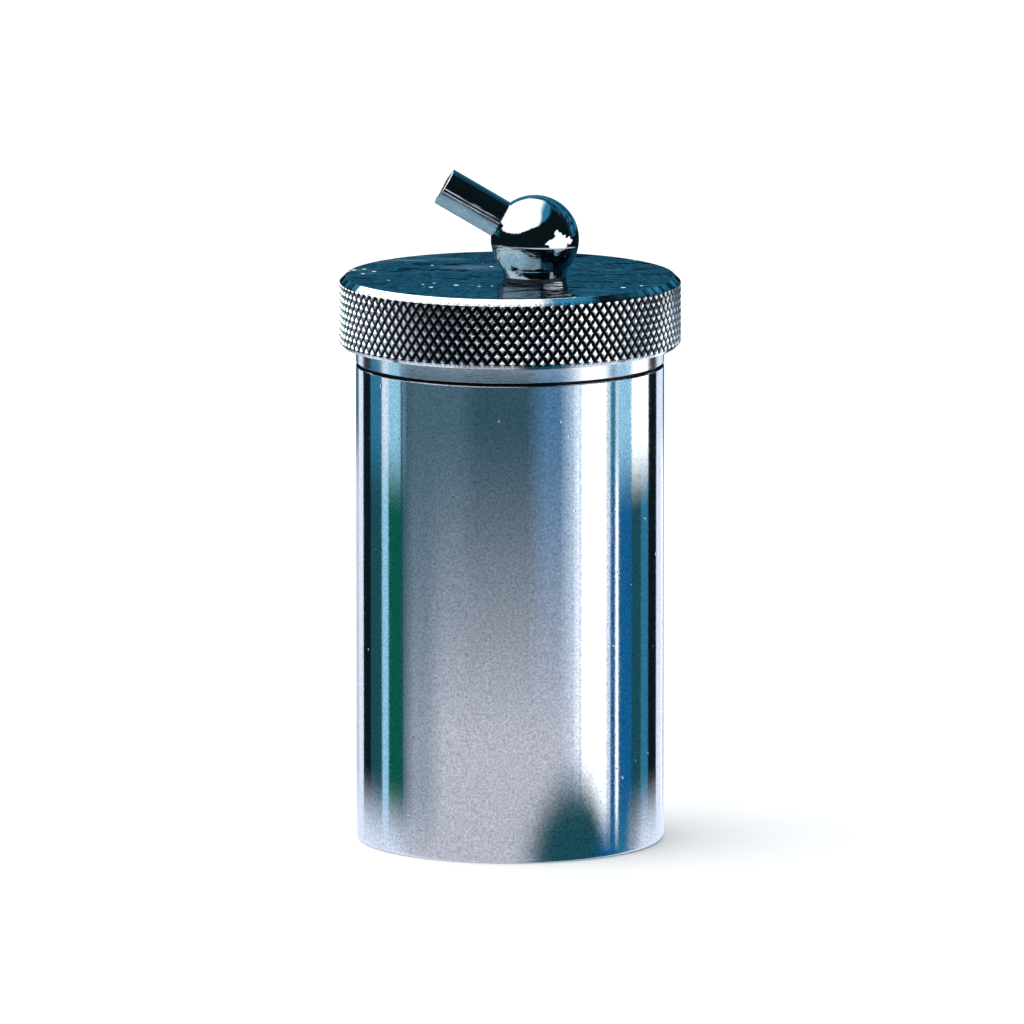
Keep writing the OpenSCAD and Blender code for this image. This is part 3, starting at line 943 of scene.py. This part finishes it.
# Cards that stand round the flask for its metal to reflect. Each starts at a turn, in degrees from
# the front towards +X, and runs to the next one's start. It has a colour low down and one at its top.
CARDS = [
    (-180, LIGHT, HAZE), (-157, SILVER, SILVER), (-144, BLACK, BLACK), (-129, TEAL, BLUE),
    (-112, SKY, SILVER), (-104, GREEN, SKY), (-90, TEAL, SLATE), (-84, GREY, HAZE),
    (-58, LIGHT, HAZE), (-32, LIGHT, SLATE), (20, LIGHT, MIST), (45, SILVER, PALE),
    (55, WHITE, WHITE), (77, SILVER, PALE), (81, DEEP_BLUE, BLUE), (86, WHITE, PALE),
    (89, DEEP_BLUE, SKY), (104, TEAL, WHITE), (116, BLUE, WHITE), (127, BLACK, BLACK),
    (143, SILVER, SILVER), (158, WHITE, PALE), (164, TEAL, BLUE), (168, LIGHT, SLATE),
]
# The same for the table close to the flask's foot: one colour a turn, with smooth changes between. Its dark
# stretch on the front right, from 28 to 105, is a painted shadow of the flask.
FOOT = [
    (-180, SILVER), (-136, SILVER), (-104, SILVER), (-74, LIGHT), (-46, LIGHT), (0, LIGHT), (28, TEAL),
    (64, TEAL), (78, DEEP_BLUE), (96, BLUE), (105, GREY), (122, SILVER), (180, SILVER),
]
# Places and heights of the cards and the table's light, in metres; turns and bearings in degrees.
CARD_AWAY = 0.085
CARD_ROW = 0.0025        # height of one row of their faces
CARD_TOP = 0.083
SHADE_LOW, SHADE_HIGH = 0.088, 0.110     # a dark strip above the cards, which the ball reflects
FOOT_OF_CARDS = -0.012   # they reach under the table, so that their reflection reaches the foot
FOOT_FADE = 0.014        # the height in which the table's colour gives way to a card's
FOOT_SHADOW_RISE = 0.010   # how much higher that happens on the front right, under the painted shadow
FOOT_SHADOW_TURNS = (5, 48, 54, 84)        # where that rise for the painted shadow starts, is full, is still full and ends
FRONT_TURNS = (-90, 50)  # the front cards, which change colour slowly over their whole height
FRONT_HIGH = 0.073       # the height from which they have their upper colour
FRONT_FADE = 0.060       # the height below that in which they change
FRONT_CURVE = 1.5
SIDE_FADE = (0.052, 0.068)               # the heights between which the other cards change
SOFT_BEARINGS = (-75, 45)                # where the cards run softly into each other
SOFT_REACH, HARD_REACH = 5, 0.5          # how far that blur reaches to each side, there and elsewhere
TABLE_UNDER = -0.02      # the table's light lies this low inside the ring, so that it reaches the foot
TABLE_LEVEL = -0.0005    # and this low outside it
TABLE_MIDDLE, TABLE_REACH = 0.001, 3.0   # its inner and outer radius
STAR_AWAY = 0.084        # a ragged white star, just inside the ring and above it, on the right
STAR_BEARING = 64
STAR_SPREAD = 44         # degrees from its middle to its tips
STAR_LOW, STAR_MIDDLE, STAR_HIGH = 0.0885, 0.104, 0.150
STAR_CURVE = 0.8         # 1 makes it a lozenge; less pulls its sides in


def bearing_of(turn):
    """Where a line of sight from the front that the flask's wall turns by so much meets the cards."""
    return turn - math.degrees(math.asin(shell_r * MM * math.sin(math.radians(turn / 2)) / CARD_AWAY))


def foot_light(bearing):
    """The light of the table close to the foot, at a bearing, with the flask's shadow painted in on the front
    right.
    """
    last = [k for k, stop in enumerate(FOOT[:-1]) if bearing_of(stop[0]) <= bearing or not k][-1]
    (start, first), (end, second) = FOOT[last], FOOT[last + 1]
    return Vector(first).lerp(Vector(second), ramp(bearing, bearing_of(start), bearing_of(end)))


def card_light(bearing, height):
    """The light of the cards at a place."""
    passed = [card for card in CARDS if bearing_of(card[0]) <= bearing or card is CARDS[0]]
    start, low, high = passed[-1]
    if height > SHADE_LOW:
        return Vector(BLACK)
    if height > CARD_TOP:
        return Vector(SILVER)
    if FRONT_TURNS[0] < start < FRONT_TURNS[1]:
        share = min(max((FRONT_HIGH - height) / FRONT_FADE, 0), 1) ** FRONT_CURVE
    else:
        share = 1 - ramp(height, *SIDE_FADE)
    light = Vector(high).lerp(Vector(low), share)
    # The painted shadow's colour reaches higher up the cards on the front right.
    begin, full, still, end = [bearing_of(turn) for turn in FOOT_SHADOW_TURNS]
    rise = ramp(bearing, begin, full) - ramp(bearing, still, end)
    fade = FOOT_OF_CARDS + FOOT_SHADOW_RISE * rise
    return foot_light(bearing).lerp(light, ramp(height, fade, fade + FOOT_FADE))


def stage_light(name, mesh):
    """An emitting sheet that only polished surfaces see, its colour taken from its corners."""
    made = bpy.data.materials.new(name)
    made.use_nodes = True
    nodes = Nodes(made.node_tree)
    colour = nodes.add("ShaderNodeAttribute", attribute_name="light").outputs["Color"]
    glow = nodes.add("ShaderNodeEmission", {"Color": colour, "Strength": 1.0})
    nodes.add("ShaderNodeOutputMaterial", {"Surface": glow})
    data = bpy.data.meshes.new(name)
    mesh.to_mesh(data)
    mesh.free()
    data.materials.append(made)
    sheet = bpy.data.objects.new(name, data)
    bpy.context.scene.collection.objects.link(sheet)
    sheet.visible_camera = sheet.visible_diffuse = sheet.visible_shadow = False


def around(bearing, away, height):
    """A place at a bearing from the front towards +X."""
    way = math.radians(bearing)
    return away * math.sin(way), -away * math.cos(way), height


def cards():
    """A low ring of cards, for the flask's reflections only."""
    mesh = bmesh.new()
    light = mesh.verts.layers.float_color.new("light")
    lowest, highest = round(TABLE_UNDER / CARD_ROW), round(SHADE_HIGH / CARD_ROW)
    rows = [CARD_ROW * k for k in range(lowest, highest + 1)]
    columns = []
    for half_degree in range(-360, 360):
        bearing = half_degree / 2
        soft = SOFT_REACH if SOFT_BEARINGS[0] < bearing < SOFT_BEARINGS[1] else HARD_REACH
        column = []
        for z in rows:
            vert = mesh.verts.new(around(bearing, CARD_AWAY, z))
            near = [card_light(bearing + soft * k / 2, z) for k in range(-2, 3)]
            vert[light] = (*(sum(near, Vector((0, 0, 0))) / len(near)), 1)
            column.append(vert)
        columns.append(column)
    for i, column in enumerate(columns):
        before = columns[i - 1]
        for k in range(len(rows) - 1):
            mesh.faces.new((before[k], column[k], column[k + 1], before[k + 1]))
    stage_light("cards", mesh)


def in_star(across, up):
    """Whether a place, from -1 to 1 each way, is inside the star's ragged outline."""
    ragged = 0.10 * math.sin(9 * across + 4 * up) + 0.08 * math.sin(17 * up - 11 * across)
    return abs(across) ** STAR_CURVE + abs(up) ** STAR_CURVE < 1 + ragged


def star_card():
    """A white star for the ball to reflect, cut off below where the ring of cards ends."""
    mesh = bmesh.new()
    light = mesh.verts.layers.float_color.new("light")
    rows, columns = 40, 48
    grid = []
    for i in range(columns + 1):
        across = 2 * i / columns - 1
        column = []
        for k in range(rows + 1):
            z = STAR_LOW + (STAR_HIGH - STAR_LOW) * k / rows
            vert = mesh.verts.new(around(STAR_BEARING + STAR_SPREAD * across, STAR_AWAY, z))
            vert[light] = (*WHITE, 1)
            inside = in_star(across, (z - STAR_MIDDLE) / (STAR_HIGH - STAR_MIDDLE))
            column.append((vert, inside))
        grid.append(column)
    for before, column in zip(grid, grid[1:]):
        for k in range(rows):
            corners = (before[k], column[k], column[k + 1], before[k + 1])
            if all(inside for _, inside in corners):
                mesh.faces.new([vert for vert, _ in corners])
    bmesh.ops.delete(mesh, geom=[v for v in mesh.verts if not v.link_faces], context="VERTS")
    stage_light("star_card", mesh)


def table_light():
    """What the metal reflects of the table, inside the cards and beyond them. Inside the cards it has the flask's
    painted shadow on the front right.
    """
    mesh = bmesh.new()
    light = mesh.verts.layers.float_color.new("light")
    inside = [(TABLE_MIDDLE, TABLE_UNDER), (CARD_AWAY, TABLE_UNDER)]
    beyond = [(CARD_AWAY, TABLE_LEVEL), (TABLE_REACH, TABLE_LEVEL)]
    rings = []
    for away, height in inside + beyond:
        ring = []
        for bearing in range(-180, 180, 5):
            vert = mesh.verts.new(around(bearing, away, height))
            vert[light] = (*(foot_light(bearing) if height == TABLE_UNDER else Vector(SILVER)), 1)
            ring.append(vert)
        rings.append(ring)
    for inner, outer in (rings[:2], rings[2:]):
        for i in range(len(inner)):
            mesh.faces.new((inner[i - 1], inner[i], outer[i], outer[i - 1]))
    stage_light("table_light", mesh)


# The room's colours, and where its parts start and end. Ways are unit vectors: side is their X, to
# the right, depth their Y, to the back, and up their Z.
BACK_DARK, BACK_BRIGHT = (0.001, 0.025, 0.06, 1), (0.05, 0.34, 0.56, 1)
BACK_DEPTH = (0.2, 0.7)
CEILING_UP = (0.68, 0.77)
CEILING_LEAN = 0.4       # how much lower it starts on the left
CEILING_RAGGED = 0.16
CEILING_GLOW = (0.04, 0.32, 0.55, 1)
GLOW_SIDE = (0.65, 0.4)
WINDOW_LIGHT = (0.97, 1, 1, 1)
WINDOW_SIDE = (0.32, 0.12)
WINDOW_STRENGTH = (2.0, 3.2)             # at its right and its left
WINDOW_BRIGHTENS = (-0.1, -0.6)
MATT_LIGHT = (0.86, 0.87, 0.88, 1)
BACKDROP = (1, 1, 1, 1)


def room():
    """World light: a dark room, blue streaks behind the flask, and a bright window high on its left.

    Only polished surfaces see the room. Matt ones are lit by an even white, and the camera sees a
    white backdrop.
    """
    world = bpy.data.worlds.new("studio")
    bpy.context.scene.world = world
    world.use_nodes = True
    nodes = Nodes(world.node_tree)
    way = nodes.add("ShaderNodeTexCoord").outputs["Generated"]
    parts = nodes.add("ShaderNodeSeparateXYZ", {"Vector": way})
    side, depth, up = parts.outputs[0], parts.outputs[1], parts.outputs[2]
    cloud = nodes.noise(way, 5.0, 4)
    streak = nodes.spread(nodes.noise(way, 4.0, 3, 0.5, (1, 1, 5)), 0.40, 0.62, 0, 1)
    back = nodes.mix_rgb(streak, BACK_DARK, BACK_BRIGHT)
    dark = nodes.mix_rgb(nodes.spread(depth, *BACK_DEPTH, 0, 1, True), (*BLACK, 1), back)
    lit = nodes.math("SUBTRACT", up, nodes.math("MULTIPLY", side, CEILING_LEAN))
    lit = nodes.math("ADD", lit, nodes.math("MULTIPLY", cloud, CEILING_RAGGED))
    above = nodes.spread(lit, *CEILING_UP, 0, 1, True)
    glow = nodes.math("MULTIPLY", above, nodes.spread(side, *GLOW_SIDE, 0, 1, True))
    window = nodes.math("MULTIPLY", above, nodes.spread(side, *WINDOW_SIDE, 0, 1, True))
    strength = nodes.spread(side, *WINDOW_BRIGHTENS, *WINDOW_STRENGTH, True)
    colour = nodes.mix_rgb(glow, dark, CEILING_GLOW)
    shown = nodes.add("ShaderNodeBackground", {"Color": colour, "Strength": 1.0})
    open_sky = nodes.add("ShaderNodeBackground", {"Color": WINDOW_LIGHT, "Strength": strength})
    shown = nodes.add("ShaderNodeMixShader", {0: window, 1: shown, 2: open_sky})
    white = nodes.add("ShaderNodeBackground", {"Color": MATT_LIGHT, "Strength": 1.0})
    plain = nodes.add("ShaderNodeBackground", {"Color": BACKDROP, "Strength": 1.0})
    rays = nodes.add("ShaderNodeLightPath")
    soft = nodes.add("ShaderNodeMixShader", {0: rays.outputs["Is Diffuse Ray"], 1: shown, 2: white})
    both = nodes.add("ShaderNodeMixShader", {0: rays.outputs["Is Camera Ray"], 1: soft, 2: plain})
    nodes.add("ShaderNodeOutputWorld", {"Surface": both})


def studio():
    """Camera, floor and lights."""
    bpy.context.scene.view_settings.view_transform = "Standard"
    camera()
    floor()
    cards()
    star_card()
    table_light()
    room()
    key_light()


shell()
collar()
knurled_cap()
spout_ball()
spout_tube()
paint_frame()
studio()
